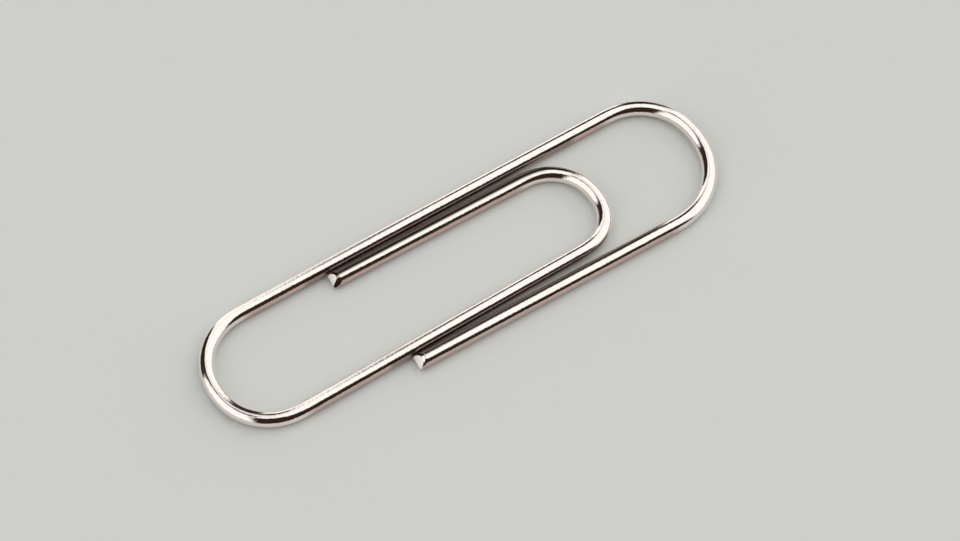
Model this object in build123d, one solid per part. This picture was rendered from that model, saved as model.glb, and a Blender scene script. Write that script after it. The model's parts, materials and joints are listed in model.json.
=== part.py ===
"""A paper clip: one length of round wire bent three times into two nested loops.

The wire is followed from its outer free end to its inner free end. It is built as straight legs and half
bends that meet face to face. Each bend is parted at its apex, where the wire twists about its own axis
when the loop that it carries is lifted. Millimetres, +X along the clip towards the outer bend, +Z up.
"""

import os
from math import radians, tan

from build123d import *

# Wire
wire_diameter = 0.90

# Lengths along the clip
clip_length = 33.0  # over the outsides of the heel bend and the outer bend
bend_setback = 7.3  # inner bend's apex behind the outer bend's apex
outer_end_setback = 10.35  # outer free end from the heel bend's apex
inner_end_setback = 8.85  # inner free end from the heel bend's apex

# Widths across the clip
inner_loop_width = 5.7  # between the centres of the inner loop's legs, at its bend
inner_mouth_gap = 0.29  # clear of the long leg, where the inner leg leaves its bend
inner_end_gap = 0.10  # clear of the long leg, at the inner free end
outer_end_gap = 0.06  # clear of the middle leg, at the outer free end
heel_flare = 0.25  # by which the middle leg spreads from the long leg towards the heel
outer_flare = 0.38  # by which the outer leg spreads from the long leg towards the outer bend

# Bends: two arcs each, with a short straight between them at the apex
apex_straight = 0.40
outer_bend_skew = 0.30  # by which the first arc from the outer end is larger than the mean
heel_bend_skew = -0.08
inner_bend_skew = -0.28

# Where the bends' apexes lie along X, from the heel's apex on the wire's centreline
outer_apex_x = clip_length - wire_diameter
inner_apex_x = outer_apex_x - bend_setback

# How far each leg lies across from the long leg, centre to centre
inner_leg_at_bend = wire_diameter + inner_mouth_gap
inner_leg_at_end = wire_diameter + inner_end_gap
middle_leg_at_bend = inner_leg_at_bend + inner_loop_width
middle_leg_at_heel = middle_leg_at_bend + heel_flare
middle_leg_at_outer_end = middle_leg_at_heel - heel_flare * outer_end_setback / inner_apex_x
outer_leg_at_end = middle_leg_at_outer_end + wire_diameter + outer_end_gap
outer_leg_at_bend = outer_leg_at_end + outer_flare

# The centreline's ends, and the corners that its bends round off
outer_end = Vector(outer_end_setback, -outer_leg_at_end)
outer_bend_corners = [Vector(outer_apex_x, -outer_leg_at_bend), Vector(outer_apex_x, 0)]
heel_bend_corners = [Vector(0, 0), Vector(0, -middle_leg_at_heel)]
inner_bend_corners = [Vector(inner_apex_x, -middle_leg_at_bend), Vector(inner_apex_x, -inner_leg_at_bend)]
inner_end = Vector(inner_end_setback, -inner_leg_at_end)


def bend_radii(before, corners, after, skew):
    """Radii of a bend's two arcs, which leave the apex straight between them."""
    first, second = corners
    across = second - first
    mean_reach = (across.length - apex_straight) / 2
    first_turn = radians((first - before).get_angle(across))
    second_turn = radians(across.get_angle(after - second))
    return [(mean_reach + skew) / tan(first_turn / 2), (mean_reach - skew) / tan(second_turn / 2)]


radii = [
    *bend_radii(outer_end, outer_bend_corners, heel_bend_corners[0], outer_bend_skew),
    *bend_radii(outer_bend_corners[1], heel_bend_corners, inner_bend_corners[0], heel_bend_skew),
    *bend_radii(heel_bend_corners[1], inner_bend_corners, inner_end, inner_bend_skew),
]
centreline = FilletPolyline(
    outer_end, *outer_bend_corners, *heel_bend_corners, *inner_bend_corners, inner_end, radius=radii
)

# Lines and arcs along the wire, in order from the outer end
outer_line, outer_arc_1, outer_apex, outer_arc_2, *others = centreline.edges()
long_line, heel_arc_1, heel_apex, heel_arc_2, *others = others
middle_line, inner_arc_1, inner_apex, inner_arc_2, inner_line = others

paths = {
    "outer_leg": [outer_line],
    "outer_bend_lower": [outer_arc_1, outer_apex.trim(0, 0.5)],
    "outer_bend_upper": [outer_apex.trim(0.5, 1), outer_arc_2],
    "long_leg": [long_line],
    "heel_bend_upper": [heel_arc_1, heel_apex.trim(0, 0.5)],
    "heel_bend_lower": [heel_apex.trim(0.5, 1), heel_arc_2],
    "middle_leg": [middle_line],
    "inner_bend_lower": [inner_arc_1, inner_apex.trim(0, 0.5)],
    "inner_bend_upper": [inner_apex.trim(0.5, 1), inner_arc_2],
    "inner_leg": [inner_line],
}


def drawn_wire(edges):
    """The wire's round section carried along a run of tangent lines and arcs."""
    path = Wire(edges)
    section = Plane(path ^ 0) * Circle(wire_diameter / 2)
    return sweep(section, path=path)


stretches = {name: drawn_wire(edges) for name, edges in paths.items()}

# The origin is under the middle of the clip, on the surface that it lies on
extent = Compound([stretch.solid() for stretch in stretches.values()]).bounding_box()
to_origin = Pos(-extent.center().X, -extent.center().Y, -extent.min.Z)

os.makedirs("parts", exist_ok=True)
for name, stretch in stretches.items():
    export_step(to_origin * stretch, f"parts/{name}.step")

# Twist axes, and a test of each stretch's volume against its section times its length
for name, apex in {"outer": outer_apex, "heel": heel_apex, "inner": inner_apex}.items():
    print(name, "apex", (to_origin * Vertex(apex @ 0.5)).center())
section_area = Circle(wire_diameter / 2).area
for name, edges in paths.items():
    print(name, "volume off by", stretches[name].volume - section_area * Wire(edges).length)
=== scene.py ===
import json
from bisect import bisect_right
from functools import cache
from itertools import accumulate
from math import atan2, cos, pi, radians, sin, sqrt, tan

import bmesh
import bpy
from mathutils import Matrix, Vector


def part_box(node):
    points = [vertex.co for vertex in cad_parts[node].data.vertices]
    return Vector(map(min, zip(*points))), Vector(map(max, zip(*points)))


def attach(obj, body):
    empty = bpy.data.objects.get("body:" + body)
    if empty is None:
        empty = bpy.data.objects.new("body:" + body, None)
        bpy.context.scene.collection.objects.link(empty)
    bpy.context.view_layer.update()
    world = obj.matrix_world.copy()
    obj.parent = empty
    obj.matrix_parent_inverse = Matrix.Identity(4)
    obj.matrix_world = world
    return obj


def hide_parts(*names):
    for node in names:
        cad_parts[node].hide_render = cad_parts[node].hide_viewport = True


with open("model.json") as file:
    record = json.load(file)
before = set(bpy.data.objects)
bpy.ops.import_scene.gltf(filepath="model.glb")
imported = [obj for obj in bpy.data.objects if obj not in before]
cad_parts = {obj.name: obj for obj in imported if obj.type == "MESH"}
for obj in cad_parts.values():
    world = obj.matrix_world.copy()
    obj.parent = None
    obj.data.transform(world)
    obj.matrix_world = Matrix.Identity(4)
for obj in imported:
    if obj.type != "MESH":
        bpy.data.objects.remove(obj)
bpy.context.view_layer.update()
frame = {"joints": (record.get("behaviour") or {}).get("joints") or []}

# Outer arm: the wire's first stretch, a straight leg and the near half of the outer bend.
# Drawn steel wire with a bright nickel plate, sheared off its coil and bent round a pin.
# It starts at its free end and meets the spine's wire at the bend's apex.
MM = 0.001
sides = 72
ring_step = 0.05 * MM
wire_start = 0.0
cut_lean = radians(42)  # of the upper facet on a free end
under_lean = radians(12)  # of the lower facet
facet_drop = 0.02 * MM  # from the wire's middle to the ridge between the two facets
facet_corners = 8  # only the flat facets of a free end have more corners than this
roll_length = 0.17 * MM  # over which the jaws roll a free end's rim inwards
roll_depth = 0.06 * MM
roll_most = 1.2
edge_round = 0.03 * MM
crease = radians(40)
ease = 1.5 * MM  # over which the wire goes from straight to bent
ease_steps = 24
bent = 0.2  # turn in radians over that length, from which the wire counts as bent
painted_reflection_top = 0.31 * MM  # straight wire has a painted warm reflection, a darker tint for the floor it mirrors, below this height from its middle
painted_reflection_fade = 0.10 * MM
shade_reach = 1.2 * MM  # painted crevice shade starts this near to another leg, and is full at the next
shade_full_near = 0.85 * MM
leg_reach = 1.2  # a leg counts as going on by a fifth, into its bend
leg_low, leg_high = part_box("long_leg")
wire_radius = (leg_high.z - leg_low.z) / 2
apex = {joint["child"]: Vector(joint["pos_m"]) for joint in frame["joints"]}


def leg_ends(node, slope):
    """Ends of a leg's centreline, low X first. Its box also holds the round ends of the tilted leg."""
    low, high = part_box(node)
    width = 2 * wire_radius
    tilt = 0
    for _ in range(4):
        run = high.x - low.x - width * sin(tilt)
        rise = high.y - low.y - width * cos(tilt)
        tilt = atan2(rise, run)
    half = Vector((run, slope * rise, 0)) / 2
    middle = (low + high) / 2
    return middle - half, middle + half


legs = {
    "outer_leg": leg_ends("outer_leg", -1),
    "long_leg": leg_ends("long_leg", 1),
    "middle_leg": leg_ends("middle_leg", 1),
    "inner_leg": leg_ends("inner_leg", -1),
}


def straight(start, end):
    """A run of the route: its length, how far it turns, and the heading and place that it starts from."""
    way = end - start
    return way.length, 0, atan2(way.y, way.x), start


def half_bend(start, heading, end, new_heading):
    """Two runs: an arc, and the short straight at the bend's apex that the arc leaves over."""
    turn = new_heading - heading
    radius = (end.x - start.x) / (sin(new_heading) - sin(heading))
    climb = radius * (cos(heading) - cos(new_heading))
    flat = abs(end.y - start.y - climb)
    if abs(cos(heading)) < abs(cos(new_heading)):
        arc_start = start + flat * Vector((cos(heading), sin(heading), 0))
        return (flat, 0, heading, start), (radius * turn, turn, heading, arc_start)
    arc_end = end - flat * Vector((cos(new_heading), sin(new_heading), 0))
    return (radius * turn, turn, heading, start), (flat, 0, new_heading, arc_end)


# Painted shade on a leg's side, a dark colour standing in for the shade by another leg: how far the side
# leans to another leg where the shade starts and where it is full, the most shade, and the share taken off
# again where the side leans farthest.
painted_shade_sides = {
    "outer_leg": (0.06, 0.28, 1.0, 0.8),
    "long_leg": (0.60, 0.78, 0.5, 0.0),
    "middle_leg": (0.60, 0.78, 0.5, 0.0),
    "inner_leg": (-0.26, -0.02, 1.0, 0.8),
}
across = pi / 2
back = pi
outer_end, outer_turn = legs["outer_leg"]
heel_turn, long_turn = legs["long_leg"]
middle_start, middle_turn = legs["middle_leg"]
inner_end, inner_turn = legs["inner_leg"]
outer_leg = straight(outer_end, outer_turn)
middle_leg = straight(middle_start, middle_turn)
inner_leg = straight(inner_turn, inner_end)
route = {
    "outer_arm": [outer_leg, *half_bend(outer_turn, outer_leg[2], apex["outer_arm"], across)],
    "spine": [
        *half_bend(apex["outer_arm"], across, long_turn, back),
        straight(long_turn, heel_turn),
        *half_bend(heel_turn, back, apex["tongue"], back + across),
    ],
    "tongue": [
        *half_bend(apex["tongue"], -across, middle_start, middle_leg[2]),
        middle_leg,
        *half_bend(middle_turn, middle_leg[2], apex["inner_arm"], across),
    ],
    "inner_arm": [*half_bend(apex["inner_arm"], across, inner_turn, inner_leg[2]), inner_leg],
}
runs = [run for body_runs in route.values() for run in body_runs]
run_starts = list(accumulate((run[0] for run in runs[:-1]), initial=wire_start))
spans = {}
fed = wire_start
for body, body_runs in route.items():
    spans[body] = (fed, fed + sum(run[0] for run in body_runs))
    fed = spans[body][1]


def whole(mesh):
    return [*mesh.verts, *mesh.edges, *mesh.faces]


def wire_blank(start, length):
    """A straight length of wire along X, ringed finely so that it bends."""
    mesh = bmesh.new()
    lying = Matrix.Translation((start + length / 2, 0, 0)) @ Matrix.Rotation(pi / 2, 4, "Y")
    bmesh.ops.create_cone(
        mesh,
        cap_ends=True,
        segments=sides,
        radius1=wire_radius,
        radius2=wire_radius,
        depth=length,
        matrix=lying,
    )
    long_edges = [edge for edge in mesh.edges if edge.calc_length() > length / 2]
    bmesh.ops.subdivide_edges(mesh, edges=long_edges, cuts=round(length / ring_step))
    return mesh


def pinch_off(mesh, free_end, facets):
    """Finishes a free end as a cutter does: its jaws roll the top edge over and leave flat facets."""
    for vert in mesh.verts:
        height = vert.co.z / wire_radius
        behind = abs(vert.co.x - free_end) - max(vert.co.z, 0) * tan(cut_lean)
        share = min(max(1 - behind / roll_length, 0), roll_most)
        vert.co.yz *= 1 - roll_depth / wire_radius * share**2 * (0.6 + 0.4 * height)
    for place, square_to_facet, _ in facets:
        cut = bmesh.ops.bisect_plane(
            mesh, geom=whole(mesh), plane_co=place, plane_no=square_to_facet, clear_outer=True
        )
        rim = [part for part in cut["geom_cut"] if isinstance(part, bmesh.types.BMEdge)]
        bmesh.ops.edgeloop_fill(mesh, edges=rim)
        mesh.normal_update()
    ridges = set()
    for face in mesh.faces:
        for _, square_to_facet, bare in facets:
            flat = len(face.verts) > facet_corners
            if flat and face.normal.angle(square_to_facet) < 0.02:
                face.material_index = 1 if bare else 0
                ridges.update(face.edges)
    bmesh.ops.bevel(
        mesh,
        geom=list(ridges),
        offset=edge_round,
        segments=3,
        profile=0.5,
        affect="EDGES",
        material=-1,
        clamp_overlap=True,
    )


def centre(gone):
    """Where the route's straights and arcs are at a length along it. It goes straight on past both ends."""
    number = max(0, bisect_right(run_starts, gone) - 1)
    length, turn, heading, place = runs[number]
    gone -= run_starts[number]
    if not turn:
        return place + gone * Vector((cos(heading), sin(heading), 0))
    radius = length / turn
    left = Vector((-sin(heading), cos(heading), 0))
    heading += gone / radius
    return place + radius * left + radius * Vector((sin(heading), -cos(heading), 0))


@cache
def eased(gone):
    """The wire's middle, left side and turn at a length along it, with each bend eased in and out."""
    places = [centre(gone + ease * (step / ease_steps - 0.5)) for step in range(ease_steps + 1)]
    middle = sum(places[1:-1], (places[0] + places[-1]) / 2) / ease_steps
    ahead = (places[-1] - places[0]).normalized()
    turn = (places[1] - places[0]).angle(places[-1] - places[-2])
    return middle, Vector((-ahead.y, ahead.x, 0)), turn


def bend_wire(mesh):
    """Carries each point of the straight wire to its place on the route."""
    for vert in mesh.verts:
        middle, left, _ = eased(round(vert.co.x, 9))
        vert.co = middle + vert.co.y * left + Vector((0, 0, vert.co.z))


def shade_in_crevice(place, outwards, own_node):
    """How much painted shade a point has, a dark colour standing in for shade: most in the crevice beside
    another leg, none with no leg near.
    """
    low, high, most, shade_lifted = painted_shade_sides[own_node]
    deep = 0

    def ramp(value, start, end):
        return min(max((value - start) / (end - start), 0), 1)

    for node, (first, second) in legs.items():
        if node != own_node:
            way = second - first
            share = min(max((place - first).dot(way) / way.length_squared, 0), leg_reach)
            towards = first + share * way - place
            clear = towards.length - wire_radius
            near = ramp(clear, shade_reach, shade_full_near)
            side = outwards.y if towards.y > 0 else -outwards.y
            deep = max(deep, most * near * (ramp(side, low, high) - shade_lifted * ramp(side, 0.5, 0.75)))
    return deep


def make_wire(name, body, own_node, free_end=None, facets=()):
    """Cuts a blank to the length of a body's runs, finishes its free end, bends it and makes it a piece."""
    start, end = spans[body]
    mesh = wire_blank(start, end - start)
    if facets:
        pinch_off(mesh, free_end, facets)
    bmesh.ops.recalc_face_normals(mesh, faces=mesh.faces)
    drawn = mesh.verts.layers.float_vector.new("drawn")
    for vert in mesh.verts:
        vert[drawn] = vert.co
    bend_wire(mesh)
    mesh.normal_update()
    # Painted light kept on the points: dark painted shade on sides by another leg, and a warm painted
    # reflection under straight wire.
    painted_shade = mesh.verts.layers.float.new("painted_shade")
    painted_reflection = mesh.verts.layers.float.new("painted_reflection")
    for vert in mesh.verts:
        vert[painted_shade] = shade_in_crevice(vert.co, vert.normal, own_node)
        straightness = max(1 - eased(round(vert[drawn].x, 9))[2] / bent, 0)
        vert[painted_reflection] = straightness * min(max((painted_reflection_top - vert[drawn].z) / painted_reflection_fade, 0), 1)
    for face in mesh.faces:
        face.smooth = True
    for edge in mesh.edges:
        beside_facet = any(len(face.verts) > facet_corners for face in edge.link_faces)
        edge.smooth = edge.calc_face_angle() < crease and not beside_facet
    data = bpy.data.meshes.new(name)
    mesh.to_mesh(data)
    mesh.free()
    data.materials.append(nickel)
    data.materials.append(steel)
    piece = bpy.data.objects.new(name, data)
    bpy.context.scene.collection.objects.link(piece)
    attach(piece, body)
    return piece


class Shade:
    """A socket in a node tree. Arithmetic on it adds Math nodes, and node() adds any other node."""

    def __init__(self, tree, socket=None):
        self.tree = tree
        self.socket = socket

    def node(self, kind, settings=None, inputs=None, output=0):
        made = self.tree.nodes.new(kind)
        for name, value in (settings or {}).items():
            setattr(made, name, value)
        for name, value in (inputs or {}).items():
            if isinstance(value, Shade):
                self.tree.links.new(value.socket, made.inputs[name])
            else:
                made.inputs[name].default_value = value
        return Shade(self.tree, made.outputs[output] if made.outputs else None)

    def math(self, operation, first, second=0.0):
        return self.node("ShaderNodeMath", {"operation": operation}, {0: first, 1: second})

    def __add__(self, other):
        return self.math("ADD", self, other)

    def __sub__(self, other):
        return self.math("SUBTRACT", self, other)

    def __rsub__(self, other):
        return self.math("SUBTRACT", other, self)

    def __mul__(self, other):
        return self.math("MULTIPLY", self, other)

    __radd__ = __add__
    __rmul__ = __mul__

    def ramp(self, low, high, to_low=0.0, to_high=1.0):
        """Goes smoothly from to_low to to_high as the value goes from low to high."""
        return self.node(
            "ShaderNodeMapRange",
            {"interpolation_type": "SMOOTHSTEP"},
            {"Value": self, "From Min": low, "From Max": high, "To Min": to_low, "To Max": to_high},
        )

    def mix(self, first_colour, second_colour):
        """Goes from one colour to the other as the value goes from 0 to 1."""
        return self.node(
            "ShaderNodeMix",
            {"data_type": "RGBA"},
            {"Factor": self, 6: first_colour, 7: second_colour},
            output=2,
        )


def nickel_plate():
    """Bright nickel over drawn wire: fine streaks along the wire, plating grain and faint warm tarnish,
    with painted shade between legs and a painted reflection under straight wire.
    """
    plate_colour = (0.765, 0.722, 0.682, 1)
    tarnish_colour = (0.60, 0.53, 0.475, 1)
    # Painted reflection: a warm darker tint that stands in for the floor mirrored under straight wire.
    painted_reflection_colour = (0.50, 0.37, 0.33, 1)
    # Painted shade: near-black that stands in for the shade on sides facing another leg.
    painted_shade_colour = (0.05, 0.034, 0.027, 1)
    material = bpy.data.materials.new("nickel_plate")
    material.use_nodes = True
    material.node_tree.nodes.clear()
    shade = Shade(material.node_tree)
    drawn = shade.node("ShaderNodeAttribute", {"attribute_name": "drawn"}, output="Vector")

    def grain(along, around, detail=2.0):
        """Noise whose marks are as long and as wide as these sizes."""
        stretched = shade.node(
            "ShaderNodeVectorMath",
            {"operation": "MULTIPLY"},
            {0: drawn, 1: (1 / along, 1 / around, 1 / around)},
        )
        return shade.node(
            "ShaderNodeTexNoise",
            {},
            {"Vector": stretched, "Scale": 1.0, "Detail": detail, "Roughness": 0.5},
        )

    streaks = grain(2.4 * MM, 0.05 * MM)
    pebbles = grain(0.17 * MM, 0.10 * MM, 1.0)
    blotches = grain(1.1 * MM, 0.35 * MM, 3.0)
    tarnish = blotches.ramp(0.55, 0.85, 0.0, 0.5)
    painted_reflection = shade.node("ShaderNodeAttribute", {"attribute_name": "painted_reflection"}, output="Fac")
    painted_shade = shade.node("ShaderNodeAttribute", {"attribute_name": "painted_shade"}, output="Fac")
    colour = tarnish.mix(plate_colour, tarnish_colour)
    # Painted reflection tints the underside of straight wire warm and darker.
    colour = (painted_reflection * 0.85).mix(colour, painted_reflection_colour)
    # Painted shade darkens the sides that face another leg.
    colour = (painted_shade * 0.98).mix(colour, painted_shade_colour)
    relief = streaks * 0.10 + pebbles * 0.36
    bump = shade.node("ShaderNodeBump", {}, {"Height": relief, "Strength": 1.0, "Distance": 0.01 * MM})
    surface = shade.node(
        "ShaderNodeBsdfPrincipled",
        {},
        {
            "Base Color": colour,
            "Metallic": 1.0,
            "Roughness": streaks.ramp(0.3, 0.7, 0.05, 0.12) + tarnish * 0.06,
            "Normal": bump,
        },
    )
    shade.node("ShaderNodeOutputMaterial", {}, {"Surface": surface})
    return material


def cut_steel():
    """The bare steel of a pinched-off end: pale, torn across by the cutter's jaws, with no plate on it."""
    clean_colour = (0.97, 0.96, 0.93, 1)
    torn_colour = (0.82, 0.80, 0.77, 1)
    material = bpy.data.materials.new("cut_steel")
    material.use_nodes = True
    material.node_tree.nodes.clear()
    shade = Shade(material.node_tree)
    drawn = shade.node("ShaderNodeAttribute", {"attribute_name": "drawn"}, output="Vector")
    torn = shade.node(
        "ShaderNodeTexNoise",
        {},
        {"Vector": drawn, "Scale": 1 / (0.06 * MM), "Detail": 3.0, "Roughness": 0.6},
    )
    bump = shade.node("ShaderNodeBump", {}, {"Height": torn, "Strength": 1.0, "Distance": 0.005 * MM})
    surface = shade.node(
        "ShaderNodeBsdfPrincipled",
        {},
        {
            "Base Color": torn.ramp(0.35, 0.7).mix(clean_colour, torn_colour),
            "Metallic": 1.0,
            "Roughness": torn.ramp(0.3, 0.7, 0.3, 0.45),
            "Normal": bump,
        },
    )
    shade.node("ShaderNodeOutputMaterial", {}, {"Surface": surface})
    return material


nickel = nickel_plate()
steel = cut_steel()
outer_ridge = Vector((wire_start, 0, -facet_drop))
outer_facets = [
    (outer_ridge, Vector((-cos(cut_lean), 0, sin(cut_lean))), True),
    (outer_ridge, Vector((-cos(under_lean), 0, -sin(under_lean))), True),
]
outer_arm = make_wire("outer_arm_wire", "outer_arm", "outer_leg", wire_start, outer_facets)
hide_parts("outer_leg", "outer_bend_lower")

# Spine: the long back of the clip, between the apexes of the outer bend and the heel bend.
# The same nickel-plated wire, bent round two pins, with the long leg straight between them.
# Both of its ends are on apexes, where the loops twist when paper lifts them.
spine = make_wire("spine_wire", "spine", "long_leg")
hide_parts("outer_bend_upper", "long_leg", "heel_bend_upper")

# Tongue: the inner loop's own side, from the heel's apex to the inner bend's apex.
# The same nickel-plated wire. The straight middle leg spreads a little towards the heel.
# It springs up from the spine to let paper in.
tongue = make_wire("tongue_wire", "tongue", "middle_leg")
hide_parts("heel_bend_lower", "middle_leg", "inner_bend_lower")

# Inner arm: the wire's last stretch, the far half of the inner bend and a leg beside the long leg.
# The same nickel-plated wire, pinched off at its free end, where the jaws also left a nip on its near side.
# Its leg lies close to the long leg and nearly touches it at the end.
wire_end = spans["inner_arm"][1]
nip = Vector((0.42, 0.64, 0.64)).normalized()
nip_start = Vector((wire_end - 0.55 * MM, wire_radius * sqrt(0.5), wire_radius * sqrt(0.5)))
inner_ridge = Vector((wire_end, 0, -facet_drop))
inner_facets = [
    (inner_ridge, Vector((cos(cut_lean), 0, sin(cut_lean))), True),
    (inner_ridge, Vector((cos(under_lean), 0, -sin(under_lean))), True),
    (nip_start, nip, False),
]
inner_arm = make_wire("inner_arm_wire", "inner_arm", "inner_leg", wire_end, inner_facets)
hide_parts("inner_bend_upper", "inner_leg")

# Floor: a plain pale board that the clip lies on. Matte card, whiter in the metal than to the eye.
# It lies under the lowest point of the wire, so a loop that is bent down stands on it and isn't hidden.
floor_mesh = bmesh.new()
bmesh.ops.create_grid(floor_mesh, x_segments=1, y_segments=1, size=2.0)
floor_data = bpy.data.meshes.new("floor")
floor_mesh.to_mesh(floor_data)
floor_mesh.free()
floor = bpy.data.objects.new("floor", floor_data)
bpy.context.scene.collection.objects.link(floor)
card = bpy.data.materials.new("card")
card.use_nodes = True
card.node_tree.nodes.clear()
shade = Shade(card.node_tree)
in_metal = shade.node("ShaderNodeLightPath", {}, output="Is Glossy Ray")
card_colour = in_metal.mix((0.72, 0.735, 0.715, 1), (0.90, 0.90, 0.89, 1))
card_surface = shade.node(
    "ShaderNodeBsdfPrincipled",
    {},
    {"Base Color": card_colour, "Roughness": 0.9, "Specular IOR Level": 0.2},
)
shade.node("ShaderNodeOutputMaterial", {}, {"Surface": card_surface})
floor_data.materials.append(card)
level = bpy.data.node_groups.new("floor_level", "GeometryNodeTree")
level.interface.new_socket("Board", in_out="INPUT", socket_type="NodeSocketGeometry")
level.interface.new_socket("Board", in_out="OUTPUT", socket_type="NodeSocketGeometry")
shade = Shade(level)
board = shade.node("NodeGroupInput")
lowest = 1.0
for piece in (outer_arm, spine, tongue, inner_arm):
    wire = shade.node(
        "GeometryNodeObjectInfo", {"transform_space": "RELATIVE"}, {"Object": piece}, output="Geometry"
    )
    corner = shade.node("GeometryNodeBoundBox", {}, {"Geometry": wire}, output="Min")
    corner_height = shade.node("ShaderNodeSeparateXYZ", {}, {"Vector": corner}, output="Z")
    lowest = shade.math("MINIMUM", corner_height, lowest)
drop = shade.node("ShaderNodeCombineXYZ", {}, {"Z": lowest})
lowered = shade.node("GeometryNodeTransform", {}, {"Geometry": board, "Translation": drop})
shade.node("NodeGroupOutput", {}, {0: lowered})
floor.modifiers.new("floor_level", "NODES").node_group = level

# Studio light: large soft boxes to the left and right of the clip, at its back and overhead, and a low one
# at the back right. Narrow dark seams show between them, and the room is dim at the front, where the
# camera stands. Past the floor the camera sees a plain pale backdrop.
box_light = 1.35
box_colour = (1, 0.99, 0.975, 1)
room_colour = (0.026, 0.015, 0.011, 1)
backdrop_colour = (0.47, 0.48, 0.465, 1)
world = bpy.data.worlds.new("studio")
bpy.context.scene.world = world
world.use_nodes = True
world.node_tree.nodes.clear()
shade = Shade(world.node_tree)
way = shade.node("ShaderNodeTexCoord", {}, output="Generated")


def past(azimuth, elevation, tilt, softness=2.5):
    """1 past a straight edge and 0 before it. Angles are in degrees.

    The edge goes through a point of the sky, leaning by tilt from upright. Upright edges are passed
    counter-clockwise, and level ones upwards.
    """
    turn, climb, lean = radians(azimuth), radians(elevation), radians(tilt)
    sideways = Vector((-sin(turn), cos(turn), 0))
    upwards = Vector((-cos(turn) * sin(climb), -sin(turn) * sin(climb), cos(climb)))
    square_to_edge = cos(lean) * sideways + sin(lean) * upwards
    distance = shade.node(
        "ShaderNodeVectorMath", {"operation": "DOT_PRODUCT"}, {0: way, 1: square_to_edge}, output="Value"
    )
    return distance.ramp(-sin(radians(softness)), sin(radians(softness)))


left_box = past(140, 25, 13, 4) * (1 - past(-146, 25, 12, 5)) * (1 - past(178, 75, 86))
right_box = past(-60, 29, 16, 3.5) * (1 - past(69, 45, 10)) * past(57, 55.5, 50)
back_box = past(78, 31, 8) * (1 - past(97, 40, 0)) * (1 - past(88, 75, 90))
top_box = past(100, 79, 116) * past(-60, 29, 16, 3.5)
low_box = past(62, 15, 0) * (1 - past(80, 15, 0)) * (1 - past(73, 28, 90))
rise = shade.node("ShaderNodeSeparateXYZ", {}, {"Vector": way}, output="Z")
stands = rise.ramp(sin(radians(1)), sin(radians(5)))
lit = (left_box + right_box + back_box + top_box) * stands + low_box
by_eye = shade.node("ShaderNodeLightPath", {}, output="Is Camera Ray")
sky_colour = by_eye.mix(lit.mix(room_colour, box_colour), backdrop_colour)
glow = shade.node("ShaderNodeBackground", {}, {"Color": sky_colour, "Strength": box_light})
shade.node("ShaderNodeOutputWorld", {}, {"Surface": glow})

# Camera: where the photograph was taken from, to the left of the clip's near side and high up.
# A long lens, aimed a little to the side of the clip's middle.
camera_data = bpy.data.cameras.new("camera")
camera_data.lens = 75
camera_data.sensor_width = 36
camera_data.clip_start = 0.01
camera = bpy.data.objects.new("camera", camera_data)
bpy.context.scene.collection.objects.link(camera)
azimuth, elevation = radians(-31.95), radians(61.88)
camera_distance = 114.35 * MM
aim = Vector((0.40, -0.72, 0.45)) * MM
away = Vector((sin(azimuth) * cos(elevation), -cos(azimuth) * cos(elevation), sin(elevation)))
camera.location = aim + camera_distance * away
camera.rotation_euler = away.to_track_quat("Z", "Y").to_euler()
bpy.context.scene.camera = camera
bpy.context.scene.view_settings.view_transform = "Standard"
